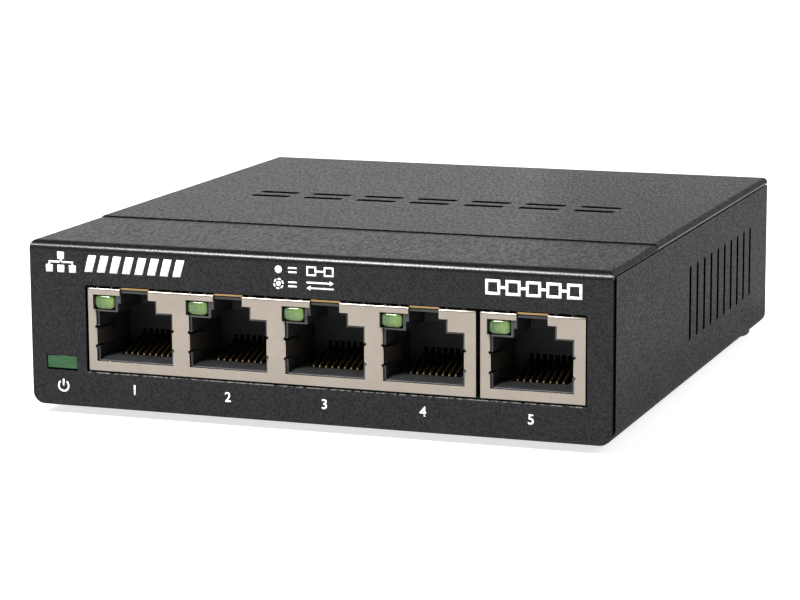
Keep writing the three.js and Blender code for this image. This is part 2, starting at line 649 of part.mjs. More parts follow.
function makeShield([x0, x1], ports) {
  const shell = cut(shieldBlock(x0, x1), [
    box(x0 + SHIELD_SHEET, x1 - SHIELD_SHEET, SHIELD_FRONT + SHIELD_SHEET, SHIELD_REAR - SHIELD_SHEET,
      SHIELD_LOW - 1, SHIELD_TOP - SHIELD_SHEET),
  ]);
  const throughFace = SHIELD_FRONT + SHIELD_SHEET + GAP;
  const holes = ports.map((x) => extrude(portOutline(x), SHIELD_FRONT - 1, throughFace, 'y'));
  holes.push(...ports.flatMap(reliefNotches));
  const tabs = ports.flatMap((x) => [springTab(x, -1), springTab(x, 1)]);
  return join([cut(shell, holes), ...tabs]);
}

// Space inside a housing for one port: plug cavity, front lip, latch channel, lamp pocket, tab reliefs,
// contact trough and the comb that guides the ends of the wires.
function portCavity(x) {
  const front = SHIELD_FRONT;
  const spaces = [];
  spaces.push(box(x - CAVITY_HALF_WIDTH, x + CAVITY_HALF_WIDTH, front, CAVITY_REAR, CAVITY_LOW,
    CAVITY_HIGH));
  const lipBack = front + LIP_DEPTH;
  const wedge = polygon([[front, PORT_LOW], [lipBack, CAVITY_LOW], [lipBack, CAVITY_LOW + 1],
    [front, CAVITY_LOW + 1]]);
  spaces.push(extrude(wedge, x - CAVITY_HALF_WIDTH, x + CAVITY_HALF_WIDTH, 'x'));
  const stepRight = x + STEP_HALF_WIDTH - STEP_INSET;
  spaces.push(box(x + HOLDER_WALL_X, stepRight, front, LATCH_REAR, CAVITY_HIGH - 1, HOLDER_BLOCK_LOW));
  spaces.push(box(x - LATCH_HALF_WIDTH, stepRight, front, LATCH_REAR, CAVITY_HIGH - 1, STEP_HIGH - 0.15));
  spaces.push(box(x - LATCH_HALF_WIDTH, x + LATCH_HALF_WIDTH, front, LATCH_REAR, CAVITY_HIGH - 1,
    LATCH_CEILING));
  spaces.push(box(x + LAMP.x0 - LAMP_CLEARANCE, x + LAMP.x1 + LAMP_CLEARANCE, front, LAMP.y1 + 0.4,
    LAMP.z0 - LAMP_CLEARANCE, LAMP.z1 + LAMP_CLEARANCE));
  for (const side of [-1, 1]) {
    const relief = [x + side * (PORT_HALF_WIDTH + 0.35), x + side * (CAVITY_HALF_WIDTH - 0.5)];
    spaces.push(box(Math.min(...relief), Math.max(...relief), front, 3.2, TAB_LOW - 0.3, TAB_HIGH + 0.3));
  }
  spaces.push(box(x - TROUGH_HALF_WIDTH, x + TROUGH_HALF_WIDTH, TROUGH_FRONT, CAVITY_REAR, TROUGH_LOW,
    CAVITY_LOW + 1));
  for (let i = 0; i < WIRE_COUNT; i += 1) {
    const wireX = x + (i - (WIRE_COUNT - 1) / 2) * WIRE_PITCH;
    spaces.push(box(wireX - COMB_SLOT / 2, wireX + COMB_SLOT / 2, CAVITY_REAR - 1, COMB_REAR,
      TROUGH_LOW, COMB_TOP));
  }
  return spaces;
}

function makeHousing([x0, x1], ports) {
  const side = SHIELD_SHEET + GAP;
  const block = box(x0 + side, x1 - side, SHIELD_FRONT + side, SHIELD_REAR - side, SHIELD_LOW,
    SHIELD_TOP - side);
  return cut(block, ports.flatMap(portCavity));
}

// Eight contact wires that rise to the rear from one carrier at their front bend.
function makeContacts(x) {
  const half = ((WIRE_COUNT - 1) * WIRE_PITCH + WIRE_THICKNESS) / 2;
  const carrier = rod(BEND_RADIUS, -half, half, 10).rotate([0, 90, 0]);
  const wires = [];
  for (let i = 0; i < WIRE_COUNT; i += 1) {
    const wireX = (i - (WIRE_COUNT - 1) / 2) * WIRE_PITCH;
    wires.push(box(wireX - WIRE_THICKNESS / 2, wireX + WIRE_THICKNESS / 2, 0, WIRE_LENGTH,
      -WIRE_THICKNESS / 2, WIRE_THICKNESS / 2));
  }
  const risen = join(wires).rotate([WIRE_RISE_DEG, 0, 0]);
  return carrier.add(risen).translate([x, BEND_Y, BEND_Z]);
}

// Port lamp: a clear block with round corners, set in the holder beside the latch channel.
function makeLamp(x) {
  const outline = roundedOutline(x + LAMP.x0, x + LAMP.x1, LAMP.z0, LAMP.z1, LAMP.corner);
  return extrude(outline, LAMP.y0, LAMP.y1, 'y');
}

const gangPorts = PORT_XS.slice(0, GANG_PORTS);
const singlePorts = PORT_XS.slice(GANG_PORTS);
addPart('port_shield_gang', makeShield(GANG_X, gangPorts), nickelShield);
addPart('port_shield_single', makeShield(SINGLE_X, singlePorts), nickelShield);
addPart('port_housing_gang', makeHousing(GANG_X, gangPorts), blackPlastic);
addPart('port_housing_single', makeHousing(SINGLE_X, singlePorts), blackPlastic);
PORT_XS.forEach((x, index) => {
  addPart(`contact_springs_${index + 1}`, makeContacts(x), goldWire);
  addPart(`port_lamp_${index + 1}`, makeLamp(x), greenLamp);
});

// ---- power lamp -----------------------------------------------------------------------------------

// Light guide: a bar behind the window with a raised face that fills it.
function makeLightGuide() {
  const { x0, x1, z1 } = POWER_WINDOW;
  const face = box(x0 + GAP, x1 - GAP, 0.1, SHEET + 1, BOARD_TOP + GAP, z1 - GAP);
  const bar = box(x0 + 0.6, x1 - 0.6, SHEET + 0.5, LENS_DEPTH, BOARD_TOP + GAP, z1 - 0.2);
  return face.add(bar);
}

addPart('power_light_guide', makeLightGuide(), greenLens);
const LAMP_CHIP = { behind: 1.4, width: 3.2, length: 1.6, height: 1.3 };
const windowMiddle = (POWER_WINDOW.x0 + POWER_WINDOW.x1) / 2;
addPart('power_lamp_chip', chipPackage(windowMiddle, LENS_DEPTH + LAMP_CHIP.behind, LAMP_CHIP.width,
  LAMP_CHIP.length, LAMP_CHIP.height), greenLamp);

// ---- power socket ---------------------------------------------------------------------------------

const leafPivot = [SOCKET_X, SOCKET_FRONT - LEAF.hinge, SOCKET_Z - LEAF.drop];

function makeSocketBody() {
  const body = box(SOCKET_X - SOCKET_HALF_WIDTH, SOCKET_X + SOCKET_HALF_WIDTH, SOCKET_REAR, SOCKET_FRONT,
    BOARD_TOP + GAP, BOARD_TOP + SOCKET_HEIGHT);
  const bore = layTowardsRear(rod(SOCKET_BORE_RADIUS, -SOCKET_BORE_DEPTH, 1, 24));
  const half = LEAF.width / 2 + 0.3;
  const bed = box(SOCKET_X - half, SOCKET_X + half, leafPivot[1] - 0.9, SOCKET_FRONT - 0.6,
    SOCKET_Z - LEAF.drop - LEAF.bed, SOCKET_Z - SOCKET_BORE_RADIUS / 2);
  return cut(body, [bore.translate([SOCKET_X, SOCKET_FRONT, SOCKET_Z]), bed]);
}

function makeSocketPin() {
  const pin = turned([[0, 0], [SOCKET_PIN_RADIUS, 0], [SOCKET_PIN_RADIUS, 7.6],
    [SOCKET_PIN_RADIUS * 0.5, 8.4], [0, 8.4]], 14);
  return layTowardsRear(pin).translate([SOCKET_X, SOCKET_FRONT - SOCKET_BORE_DEPTH + 0.1, SOCKET_Z]);
}

// Earth leaf: a sprung strip that rises from its rear fold into the bore and dips again at its end.
function makeSocketLeaf() {
  const t = LEAF.thickness;
  const reach = LEAF.length;
  const crest = reach * 0.72;
  const rise = crest * Math.tan((LEAF.lean * Math.PI) / 180);
  const section = polygon([[-0.3, -t / 2], [crest, rise - t / 2], [reach, rise - 0.5 - t / 2],
    [reach, rise - 0.5 + t / 2], [crest, rise + t / 2], [-0.3, t / 2]]);
  const half = LEAF.width / 2;
  return extrude(section, -half, half, 'x').translate(leafPivot);
}

addPart('power_socket_body', makeSocketBody(), blackPlastic);
addPart('power_socket_pin', makeSocketPin(), springSteel);
addPart('power_socket_leaf', makeSocketLeaf(), springSteel);

export default group;
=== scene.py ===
"""Looks for a small desktop network switch: a folded black case, shielded ports, lamps and prints.

Lengths are in millimetres. They become metres where points go into a mesh, in `mesh_from`, and where a
size or a place is handed over. X is to the right, Y to the rear and Z up, as in the solids.
"""

import math

import bmesh
import bpy
import numpy as np
from mathutils import Matrix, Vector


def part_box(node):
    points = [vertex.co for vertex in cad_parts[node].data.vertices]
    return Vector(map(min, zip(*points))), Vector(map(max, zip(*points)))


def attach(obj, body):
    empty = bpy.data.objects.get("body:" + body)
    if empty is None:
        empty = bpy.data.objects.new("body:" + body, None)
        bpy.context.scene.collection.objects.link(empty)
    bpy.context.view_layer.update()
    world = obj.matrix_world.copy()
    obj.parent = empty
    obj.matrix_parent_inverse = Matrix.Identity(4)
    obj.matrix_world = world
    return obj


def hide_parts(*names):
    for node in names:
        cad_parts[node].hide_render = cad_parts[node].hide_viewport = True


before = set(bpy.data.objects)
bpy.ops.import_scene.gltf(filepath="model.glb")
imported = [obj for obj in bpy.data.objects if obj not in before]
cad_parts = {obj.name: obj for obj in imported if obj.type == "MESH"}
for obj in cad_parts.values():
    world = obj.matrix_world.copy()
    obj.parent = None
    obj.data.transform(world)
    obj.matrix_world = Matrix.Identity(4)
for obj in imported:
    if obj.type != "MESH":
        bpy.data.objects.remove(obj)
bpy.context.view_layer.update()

MM = 0.001
FLAT = math.radians(0.3)  # faces that meet at less than this are one flat face
SHARP = math.radians(50)  # edges where faces meet at more than this are rounded over


def box_mm(node):
    """Lowest and highest corner of a CAD node, in millimetres."""
    low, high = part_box(node)
    return np.array(low) / MM, np.array(high) / MM


TRAY_LOW, TRAY_HIGH = box_mm("chassis_tray")
PANEL_LOW, PANEL_HIGH = box_mm("front_panel")
COVER_TOP = box_mm("top_cover")[1][2]
SHIELD_LOW, SHIELD_HIGH = box_mm("port_shield_gang")
SHIELDS_RIGHT = box_mm("port_shield_single")[1][0]
FRONT = PANEL_LOW[1]
UNDERSIDE = TRAY_LOW[2]
WALL = TRAY_HIGH[0]  # how far the side walls stand from the middle
VENT_Z = (UNDERSIDE + 6.9, UNDERSIDE + 19.5)  # the slots in the side walls
VENT_Y = (FRONT + 44.0, FRONT + 90.0)
DASH_Y = (FRONT + 52.7, FRONT + 59.3)  # the two rows of dashes pressed into the cover
DASH_HALF = 34.0
ROLL_EDGE = UNDERSIDE + 25.05  # lower edge of the cover's rolled sides
CUTOUT_GAP = 0.3  # from the shields to the edge of the opening in the front panel
CUTOUT_LOW = SHIELD_LOW[2] - CUTOUT_GAP
CUTOUT_MIDDLE = (SHIELD_LOW[0] + SHIELDS_RIGHT) / 2
CUTOUT_HALF = (SHIELDS_RIGHT - SHIELD_LOW[0]) / 2 + CUTOUT_GAP
PORTS = range(1, 6)
PORT_X = {port: sum(corner[0] for corner in box_mm(f"contact_springs_{port}")) / 2 for port in PORTS}


def stand(thing, right, up, back, place):
    """Adds an object whose own X, Y and Z axes are right, up and back, at a place in millimetres."""
    bpy.context.scene.collection.objects.link(thing)
    turn = np.identity(4)
    turn[:3] = np.column_stack([right, up, back, np.asarray(place) * MM])
    thing.matrix_world = Matrix(turn.tolist())


# ---- camera ------------------------------------------------------------------------------------------

CAMERA_AZIMUTH = 19.957  # degrees to the right of straight ahead
CAMERA_ELEVATION = 10.475
CAMERA_ROLL = -0.318
CAMERA_DISTANCE = 473.3
CAMERA_ASIDE = -3.82  # how far the aim lies to the right of the middle of the case
CAMERA_UP = -2.73
AIM = np.array([0.0, 0.0, UNDERSIDE + 13.0])
LENS = 127.41


def add_camera():
    """A camera on a sphere round the aim, turned by its roll and then slid in its own plane."""
    azimuth, elevation, roll = np.radians([CAMERA_AZIMUTH, CAMERA_ELEVATION, CAMERA_ROLL])
    back = np.array([math.sin(azimuth) * math.cos(elevation), -math.cos(azimuth) * math.cos(elevation),
                     math.sin(elevation)])
    level = np.array([math.cos(azimuth), math.sin(azimuth), 0.0])
    upright = np.cross(back, level)
    right = math.cos(roll) * level + math.sin(roll) * upright
    up = math.cos(roll) * upright - math.sin(roll) * level
    place = AIM + CAMERA_ASIDE * right + CAMERA_UP * up + CAMERA_DISTANCE * back
    data = bpy.data.cameras.new("camera")
    data.lens = LENS
    data.clip_start = 0.01
    data.clip_end = 20
    camera = bpy.data.objects.new("camera", data)
    stand(camera, right, up, back, place)
    bpy.context.scene.camera = camera


add_camera()


# ---- shader sums -------------------------------------------------------------------------------------

class Wire:
    """A shader output that can stand in a sum. Each operator adds one Math node."""

    def __init__(self, finish, socket):
        self.finish = finish
        self.socket = socket

    def _math(self, operation, *values):
        return self.finish.node("ShaderNodeMath", {"operation": operation}, dict(enumerate(values)))

    def __add__(self, other):
        return self._math("ADD", self, other)

    def __sub__(self, other):
        return self._math("SUBTRACT", self, other)

    def __rsub__(self, other):
        return self._math("SUBTRACT", other, self)

    def __mul__(self, other):
        return self._math("MULTIPLY", self, other)

    def __gt__(self, other):
        return self._math("GREATER_THAN", self, other)

    def __abs__(self):
        return self._math("ABSOLUTE", self)

    def greater(self, other):
        """The greater of two wires."""
        return self._math("MAXIMUM", self, other)

    def zigzag(self, height):
        """Rises from nought to height and falls back, over and over."""
        return self._math("PINGPONG", self, height)

    def between(self, low, high):
        """One where the wire lies between low and high, nought outside."""
        return (self > low) * (1 - (self > high))

    def ramp(self, low, high, start=0.0, end=1.0):
        """Straight line from start at low to end at high, level outside."""
        values = {0: self, 1: low, 2: high, 3: start, 4: end}
        return self.finish.node("ShaderNodeMapRange", {"clamp": True}, values)

    __radd__ = __add__
    __rmul__ = __mul__


class Finish:
    """One material under construction, with a Principled shader at its end."""

    def __init__(self, name, **constants):
        self.material = bpy.data.materials.new(name)
        self.material.use_nodes = True
        self.tree = self.material.node_tree
        self.shader = self.tree.nodes["Principled BSDF"]
        for socket, value in constants.items():
            self.set(socket.replace("_", " ").title().replace("Ior", "IOR"), value)

    def set(self, socket, value):
        """A constant or a wire for one socket of the Principled shader."""
        self._feed(self.shader.inputs[socket], value)

    def _feed(self, entry, value):
        if isinstance(value, Wire):
            self.tree.links.new(value.socket, entry)
        elif isinstance(value, (tuple, list)) and len(value) == 3 and entry.type == "RGBA":
            entry.default_value = (*value, 1.0)
        else:
            entry.default_value = value

    def node(self, kind, settings=None, values=None, output=0):
        """One node: its settings come first, then the constants and wires of its sockets."""
        made = self.tree.nodes.new(kind)
        for key, value in (settings or {}).items():
            setattr(made, key, value)
        for key, value in (values or {}).items():
            self._feed(made.inputs[key], value)
        return Wire(self, made.outputs[output])

    def place(self):
        """Object coordinates in metres."""
        return self.node("ShaderNodeTexCoord", output="Object")

    def axes(self):
        """The three Object coordinates, in millimetres, as three wires."""
        split = self.node("ShaderNodeSeparateXYZ", None, {0: self.place()}).socket.node
        return [Wire(self, output) * (1 / MM) for output in split.outputs]

    def noise(self, grain, detail=2.0, roughness=0.5, stretch=(1, 1, 1), spin=0.0):
        """Noise whose lumps are about `grain` millimetres across."""
        vector = self.node("ShaderNodeVectorMath", {"operation": "MULTIPLY"},
                           {0: self.place(), 1: tuple(stretch)})
        if spin:
            vector = self.node("ShaderNodeVectorMath", {"operation": "ADD"}, {0: vector, 1: (spin,) * 3})
        values = {"Vector": vector, "Scale": 1 / (grain * MM), "Detail": detail, "Roughness": roughness}
        return self.node("ShaderNodeTexNoise", {"noise_dimensions": "3D"}, values)

    def mix(self, share, first, second, blend="MIX"):
        """Colour between first and second, or another blend of the two."""
        settings = {"data_type": "RGBA", "blend_type": blend}
        return self.node("ShaderNodeMix", settings, {0: share, 6: first, 7: second}, output=2)

    def bump(self, height, depth):
        """Relief of `depth` millimetres where height goes from 0 to 1, into the shader's Normal."""
        self.set("Normal", self.node("ShaderNodeBump", None, {"Height": height, "Distance": depth * MM}))


# ---- finishes ----------------------------------------------------------------------------------------

def bare_edge(finish, x, y, z):
    """One along the lower cut edge of the port opening, in broken stretches, where a highlight is painted;
    nought elsewhere.
    """
    edge = 1 - abs(z - CUTOUT_LOW).ramp(0.02, 0.08)
    span = 1 - abs(x - CUTOUT_MIDDLE).ramp(CUTOUT_HALF - 0.5, CUTOUT_HALF)
    front = 1 - y.ramp(FRONT + 0.02, FRONT + 0.5)
    return edge * span * front * finish.noise(0.8, 2.0, 0.6, spin=2.0).ramp(0.42, 0.56)


def recesses(out, y, z):
    """One in the vents, the pressed dashes and the gap behind the front panel, where shade is painted; nought
    elsewhere.

    Out is the distance to the left or the right of the middle.
    """
    inside = WALL - 1.2  # past the inner face of the walls
    vents = out.between(inside, WALL - 0.01) * z.between(*VENT_Z) * y.between(*VENT_Y)
    pressed = z.between(COVER_TOP - 0.37, COVER_TOP - 0.03) * y.between(*DASH_Y) * (1 - (out > DASH_HALF))
    gap = (out > inside) * y.between(FRONT + 0.12, FRONT + 2.04)
    gap = gap * z.between(UNDERSIDE + 1.5, PANEL_HIGH[2] - 1.3)
    return vents.greater(pressed).greater(gap)


def powder_coat():
    """Black powder coat: fine pebbles under a thin clear gloss, cloudy in places, longer on the top.

    A light grey highlight is painted in broken stretches along the lower cut edge of the port opening. In the
    recesses shade is painted: their colour is near black and their gloss duller. Along the lower edge of the
    cover's rolled sides a band of extra gloss is painted on to make a highlight line.
    """
    finish = Finish("powder_coat", metallic=0.0, specular_ior_level=0.0, coat_roughness=0.25, coat_ior=2.0)
    x, y, z = finish.axes()
    out = abs(x)
    recess_shade = recesses(out, y, z)
    pebble = finish.noise(0.36, 2.0, 0.55)
    cloud = finish.noise(9.0, 2.0, 0.5, spin=7.7) - 0.5
    upright = finish.noise(0.28, 1.0, 0.5, stretch=(1, 0.42, 1), spin=3.1)
    level = finish.noise(0.28, 1.0, 0.5, stretch=(1, 0.22, 1), spin=5.3)
    top = z > PANEL_HIGH[2] - 0.1
    grain = level * top + upright * (1 - top)
    relief = pebble * 0.5 + grain * 0.5
    coat = finish.mix(relief.ramp(0.35, 0.65), (0.0024, 0.0025, 0.0029), (0.0058, 0.0060, 0.0069))
    # painted shade: the recesses get a near-black colour here, and less gloss below
    coat = finish.mix(recess_shade, coat, (0.0015, 0.0015, 0.0016))
    # painted highlight: light grey in broken stretches along the lower cut edge of the port opening
    finish.set("Base Color", finish.mix(bare_edge(finish, x, y, z), coat, (0.20, 0.19, 0.19)))
    finish.set("Roughness", relief.ramp(0.35, 0.65, 0.62, 0.50) + cloud * 0.05)
    gloss = grain.ramp(0.36, 0.64, 0.105, 0.200) + cloud * 0.02
    # painted highlight: a band of extra gloss along the lower edge of the cover's rolled sides makes a
    # highlight line
    painted_highlight_band = z.between(ROLL_EDGE - 0.02, ROLL_EDGE + 0.34) * (out > WALL - 0.12) * (y > PANEL_HIGH[1] - 0.3)
    finish.set("Coat Weight", gloss * (1 - recess_shade * 0.85) + painted_highlight_band * 0.22)
    finish.bump(relief, 0.035)
    return finish.material


def nickel_sheet():
    """Bright nickel on rolled brass sheet: faint rolling lines, a warm tint and thin smudges.

    The brass shows on the raw edge of the top plate, in the notch above each port.
    """
    finish = Finish("nickel_sheet", metallic=1.0)
    lines = finish.noise(0.35, 2.0, 0.6, stretch=(0.08, 1, 1))
    smudge = finish.noise(5.0, 3.0, 0.6, spin=2.3)
    nickel = finish.mix(smudge.ramp(0.35, 0.7), (0.300, 0.262, 0.223), (0.275, 0.241, 0.205))
    x, y, z = finish.axes()
    notch = sum(1 - abs(x - middle).ramp(2.40, 2.45) for middle in PORT_X.values())
    raw = notch * (z > SHIELD_HIGH[2] - 0.32) * (1 - y.ramp(SHIELD_LOW[1] + 0.45, SHIELD_LOW[1] + 0.6))
    finish.set("Base Color", finish.mix(raw, nickel, (0.30, 0.20, 0.09)))
    finish.set("Roughness", smudge.ramp(0.3, 0.7, 0.27, 0.33) + (lines - 0.5) * 0.06)
    finish.bump(lines, 0.003)
    return finish.material


def moulded_black():
    """Glass-filled black plastic with a fine spark-eroded texture, with a clear gloss at its faces.

    Down in the ports, behind the front, shade is painted on it: a darker colour and no gloss.
    """
    finish = Finish("moulded_black", metallic=0.0, specular_ior_level=0.15, coat_roughness=0.35)
    grain = finish.noise(0.22, 2.0, 0.6)
    cloud = finish.noise(3.0, 2.0, 0.5, spin=4.1)
    _, y, _ = finish.axes()
    mouth = 1 - y.between(FRONT + 1.1, FRONT + 40)
    # painted shade: inner is a darker copy of the plastic for down in the ports, outer the plastic at its
    # faces
    inner = finish.mix(cloud.ramp(0.3, 0.7), (0.0120, 0.0120, 0.0126), (0.0200, 0.0200, 0.0210))
    outer = finish.mix(cloud.ramp(0.3, 0.7), (0.014, 0.014, 0.015), (0.026, 0.026, 0.028))
    finish.set("Base Color", finish.mix(mouth, inner, outer))
    finish.set("Roughness", grain.ramp(0.3, 0.7, 0.46, 0.60))
    finish.set("Coat Weight", mouth * 0.6)
    finish.bump(grain, 0.02)
    return finish.material


def gold_wire():
    """Gold on spring wire, with fine drawing lines, painted far darker than gold as the shade down in the
    ports.
    """
    finish = Finish("gold_wire", metallic=1.0)
    lines = finish.noise(0.12, 2.0, 0.5, stretch=(1, 0.1, 0.3))
    # painted shade: both colours are much darker than gold, for the shade inside the ports
    finish.set("Base Color", finish.mix(lines.ramp(0.3, 0.7), (0.064, 0.045, 0.021), (0.046, 0.032, 0.015)))
    finish.set("Roughness", lines.ramp(0.3, 0.7, 0.40, 0.52))
    return finish.material


def lamp_lens():
    """Green lamp moulding with painted light: paler and yellower towards its right, and a faint painted glow
    though it is not lit.
    """
    finish = Finish("lamp_lens", metallic=0.0, roughness=0.10, emission_strength=0.02)
    cloud = finish.noise(1.3, 2.0, 0.6)
    depth = finish.noise(0.5, 2.0, 0.6, spin=4.0)
    clear = finish.node("ShaderNodeAttribute", {"attribute_name": "clear"}, output=2)
    # painted light: the lens gets paler and yellower towards its right
    share = clear * 0.7 + cloud.ramp(0.35, 0.65) * 0.3
    colour = finish.mix(share, (0.022, 0.058, 0.020), (0.130, 0.205, 0.052))
    shade = finish.mix(depth.ramp(0.3, 0.7), (0.75, 0.75, 0.75), (1.0, 1.0, 1.0))
    colour = finish.mix(1.0, colour, shade, "MULTIPLY")
    finish.set("Base Color", colour)
    # painted glow: the unlit lens gives off a little light in its own colour
    finish.set("Emission Color", colour)
    return finish.material


def guide_lens():
    """Deep green light guide, seen unlit, with fine flow marks and a faint painted glow."""
    finish = Finish("guide_lens", metallic=0.0, specular_ior_level=0.25, emission_strength=0.02)
    flow = finish.noise(1.2, 3.0, 0.6, stretch=(0.35, 1, 1))
    colour = finish.mix(flow.ramp(0.3, 0.7), (0.009, 0.040, 0.013), (0.018, 0.066, 0.024))
    finish.set("Base Color", colour)
    finish.set("Roughness", flow.ramp(0.3, 0.7, 0.16, 0.30))
    # painted glow: the unlit guide gives off a little light in its own colour
    finish.set("Emission Color", colour)
    return finish.material


def white_print():
    """White screen print: slightly uneven ink that follows the coat's pebbles."""
    finish = Finish("white_print", metallic=0.0)
    grain = finish.noise(0.4, 2.0, 0.6)
    finish.set("Base Color", finish.mix(grain.ramp(0.25, 0.75), (0.86, 0.86, 0.86), (0.72, 0.72, 0.72)))
    finish.set("Roughness", grain.ramp(0.3, 0.7, 0.5, 0.65))
    finish.bump(grain, 0.02)
    return finish.material


def foot_rubber():
    """Black rubber with a dusty bloom."""
    finish = Finish("foot_rubber", metallic=0.0)
    grain = finish.noise(0.35, 3.0, 0.6)
    bloom = finish.noise(2.2, 3.0, 0.6, spin=5.0)
    finish.set("Base Color", finish.mix(bloom.ramp(0.35, 0.75), (0.012, 0.012, 0.012), (0.032, 0.031, 0.030)))
    finish.set("Roughness", grain.ramp(0.3, 0.7, 0.72, 0.88))
    finish.bump(grain, 0.04)
    return finish.material


def black_zinc():
    """Black zinc on steel screws, rubbed brighter on the high spots."""
    finish = Finish("black_zinc", metallic=1.0)
    wear = finish.noise(0.8, 3.0, 0.6)
    finish.set("Base Color", finish.mix(wear.ramp(0.45, 0.75), (0.045, 0.045, 0.048), (0.16, 0.155, 0.15)))
    finish.set("Roughness", wear.ramp(0.3, 0.7, 0.42, 0.28))
    finish.bump(wear, 0.01)
    return finish.material


def solder_mask():
    """Green solder mask over copper tracks: the tracks run both ways and stand a little proud."""
    finish = Finish("solder_mask", metallic=0.0)
    x, y, _ = finish.axes()
    wander = finish.noise(9.0, 1.0, 0.5) * 6
    across, down = ((along + wander).zigzag(0.6).ramp(0.30, 0.36) for along in (x, y))
    zone = finish.noise(6.0, 0.0, 0.5, spin=1.0).ramp(0.49, 0.51)
    track = across * zone + down * (1 - zone)
    finish.set("Base Color", finish.mix(track, (0.010, 0.060, 0.026), (0.022, 0.125, 0.050)))
    finish.set("Roughness", track.ramp(0, 1, 0.34, 0.26))
    finish.bump(track, 0.03)
    return finish.material


def chip_epoxy():
    """Moulded chip package in charcoal epoxy."""
    finish = Finish("chip_epoxy", metallic=0.0)
    grain = finish.noise(0.25, 3.0, 0.6)
    finish.set("Base Color", finish.mix(grain.ramp(0.3, 0.7), (0.014, 0.014, 0.015), (0.030, 0.030, 0.031)))
    finish.set("Roughness", grain.ramp(0.3, 0.7, 0.52, 0.68))
    finish.bump(grain, 0.02)
    return finish.material


def bare_aluminium():
    """Satin aluminium with fine cross grain."""
    finish = Finish("bare_aluminium", metallic=1.0)
    grain = finish.noise(0.3, 3.0, 0.6, stretch=(1, 0.1, 1))
    finish.set("Base Color", finish.mix(grain.ramp(0.3, 0.7), (0.62, 0.63, 0.64), (0.50, 0.51, 0.52)))
    finish.set("Roughness", grain.ramp(0.3, 0.7, 0.30, 0.46))
    finish.bump(grain, 0.008)
    return finish.material


def silicone_pad():
    """Soft grey pad, faintly mottled and rough."""
    finish = Finish("silicone_pad", metallic=0.0, roughness=0.85)
    grain = finish.noise(0.5, 2.0, 0.6)
    finish.set("Base Color", finish.mix(grain.ramp(0.3, 0.7), (0.30, 0.33, 0.37), (0.38, 0.41, 0.45)))
    finish.bump(grain, 0.03)
    return finish.material


def label_film():
    """Matt white film label, left blank, with a thin grey frame near its edge."""
    finish = Finish("label_film", metallic=0.0, roughness=0.55)
    x, y, _ = finish.axes()
    low, high = box_mm("rating_label")
    inset, thick = 1.6, 0.25
    half = (high - low)[:2] / 2 - inset
    middle = (low + high)[:2] / 2
    edge = (abs(x - middle[0]) - half[0]).greater(abs(y - middle[1]) - half[1])
    frame_line = 1 - abs(edge).ramp(thick * 0.8, thick)
    paper = finish.noise(0.4, 3.0, 0.6)
    film = finish.mix(paper.ramp(0.3, 0.7), (0.78, 0.78, 0.76), (0.70, 0.70, 0.68))
    finish.set("Base Color", finish.mix(frame_line, film, (0.20, 0.20, 0.21)))
    finish.bump(paper, 0.01)
    return finish.material


COAT = powder_coat()
NICKEL = nickel_sheet()
PLASTIC = moulded_black()
GOLD = gold_wire()
LAMP = lamp_lens()
GUIDE = guide_lens()
PRINT = white_print()
RUBBER = foot_rubber()
ZINC = black_zinc()
MASK = solder_mask()
EPOXY = chip_epoxy()
ALUMINIUM = bare_aluminium()
PAD = silicone_pad()
FILM = label_film()


# ---- pieces ------------------------------------------------------------------------------------------

def link(name, mesh, body, material, nodes=()):
    """Puts a finished mesh in the scene as one piece that rides on a body and stands for some nodes."""
    piece = bpy.data.objects.new(name, mesh)
    bpy.context.scene.collection.objects.link(piece)
    mesh.materials.clear()
    mesh.materials.append(material)
    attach(piece, body)
    if nodes:
        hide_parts(*nodes)
    return piece


def softened(node, material, radius, body="root"):
    """A CAD solid with its flat faces merged and its sharp edges rounded over."""
    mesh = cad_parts[node].data.copy()
    work = bmesh.new()
    work.from_mesh(mesh)
    bmesh.ops.remove_doubles(work, verts=work.verts, dist=0.01 * MM)
    flat = [edge for edge in work.edges if edge.is_manifold and edge.calc_face_angle() < FLAT]
    bmesh.ops.dissolve_edges(work, edges=flat, use_verts=False, use_face_split=False)
    bmesh.ops.triangulate(work, faces=[face for face in work.faces if len(face.verts) > 4])
    work.to_mesh(mesh)
    work.free()
    mesh.shade_smooth()
    piece = link(f"{node}_finish", mesh, body, material, [node])
    edges = piece.modifiers.new("edges", "BEVEL")
    edges.width = radius * MM
    edges.segments = 2
    edges.limit_method = "ANGLE"
    edges.angle_limit = SHARP
    edges.use_clamp_overlap = True
    shading = piece.modifiers.new("shading", "WEIGHTED_NORMAL")
    shading.keep_sharp = True


def grid_faces(rows, columns, wrap=False):
    """Quads between neighbouring points of a grid stored row by row.

    Wrap joins the last column to the first.
    """
    u, v = np.meshgrid(np.arange(rows - 1), np.arange(columns if wrap else columns - 1), indexing="ij")
    beside = (v + 1) % columns
    corners = [u * columns + v, (u + 1) * columns + v, (u + 1) * columns + beside, u * columns + beside]
    return np.stack(corners, axis=-1).reshape(-1, 4)


def closed(mesh):
    """Merges the points where rings meet and turns every face outwards."""
    work = bmesh.new()
    work.from_mesh(mesh)
    bmesh.ops.remove_doubles(work, verts=work.verts, dist=0.002 * MM)
    bmesh.ops.dissolve_degenerate(work, edges=work.edges, dist=0.001 * MM)
    bmesh.ops.recalc_face_normals(work, faces=work.faces)
    work.to_mesh(mesh)
    work.free()
    mesh.shade_smooth()


def mesh_from(name, points, faces):
    """A mesh from points in millimetres and faces, shaded smooth."""
    mesh = bpy.data.meshes.new(name)
    mesh.from_pydata((np.asarray(points).reshape(-1, 3) * MM).tolist(), [], [list(f) for f in faces])
    mesh.validate()
    mesh.shade_smooth()
    return mesh


